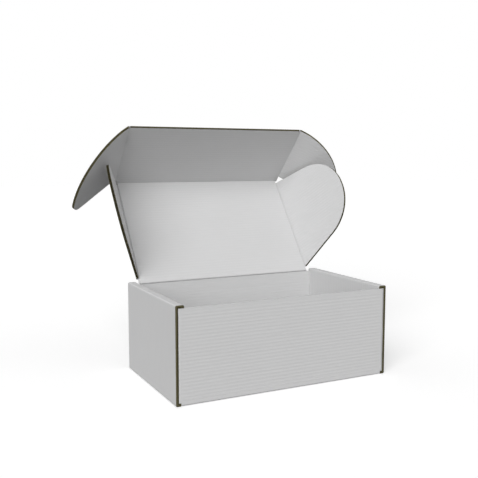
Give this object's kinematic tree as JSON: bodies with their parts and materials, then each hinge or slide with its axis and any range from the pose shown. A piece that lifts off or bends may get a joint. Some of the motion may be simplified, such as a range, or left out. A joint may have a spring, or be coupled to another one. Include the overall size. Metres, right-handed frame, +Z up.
{
  "type": "corrugated shipping box",
  "caption": "Folded corrugated mailer box with double end walls, a hinged lid with rounded side wings, and a tuck flap with dust flaps.",
  "frame": {"origin": "middle of the tray's underside", "axes": "+X to the right along the front wall, +Y to the back wall with the lid's hinge, +Z up"},
  "size_m": [0.3532, 0.2301, 0.2766],
  "materials": {
    "board": "matte white-lined corrugated board"
  },
  "bodies": {
    "box": {"tray": "board"},
    "lid": {"lid_panel": "board"},
    "left_wing": {"wing_left": "board"},
    "right_wing": {"wing_right": "board"},
    "tuck": {"tuck_flap": "board"},
    "left_ear": {"ear_left": "board"},
    "right_ear": {"ear_right": "board"}
  },
  "joints": [
    {"name": "lid_hinge", "type": "hinge", "parent": "box", "child": "lid", "pos_m": [0, 0.0715, 0.0985], "axis": [1, 0, 0], "range_deg": [0, 127]},
    {"name": "wing_left_hinge", "type": "hinge", "parent": "lid", "child": "left_wing", "pos_m": [-0.1128, 0.0715, 0.0985], "axis": [0, 0.6018, 0.7986], "range_deg": [0, 47.65]},
    {"name": "wing_right_hinge", "type": "hinge", "parent": "lid", "child": "right_wing", "pos_m": [0.1128, 0.0715, 0.0985], "axis": [0, -0.6018, -0.7986], "range_deg": [0, 47.65]},
    {"name": "tuck_hinge", "type": "hinge", "parent": "lid", "child": "tuck", "pos_m": [0, 0.15557, 0.21007], "axis": [1, 0, 0], "range_deg": [-81.05, 0]},
    {"name": "ear_left_hinge", "type": "hinge", "parent": "tuck", "child": "left_ear", "pos_m": [-0.1142, 0.15557, 0.21007], "axis": [0, -0.6947, 0.7193], "range_deg": [-38, 0]},
    {"name": "ear_right_hinge", "type": "hinge", "parent": "tuck", "child": "right_ear", "pos_m": [0.1142, 0.15557, 0.21007], "axis": [0, 0.6947, -0.7193], "range_deg": [-38, 0]}
  ],
  "couplings": [
    {"joint": "wing_left_hinge", "follows": "lid_hinge", "ratio": 0.3748},
    {"joint": "wing_right_hinge", "follows": "lid_hinge", "ratio": 0.3748},
    {"joint": "tuck_hinge", "follows": "lid_hinge", "ratio": -0.6378}
  ]
}
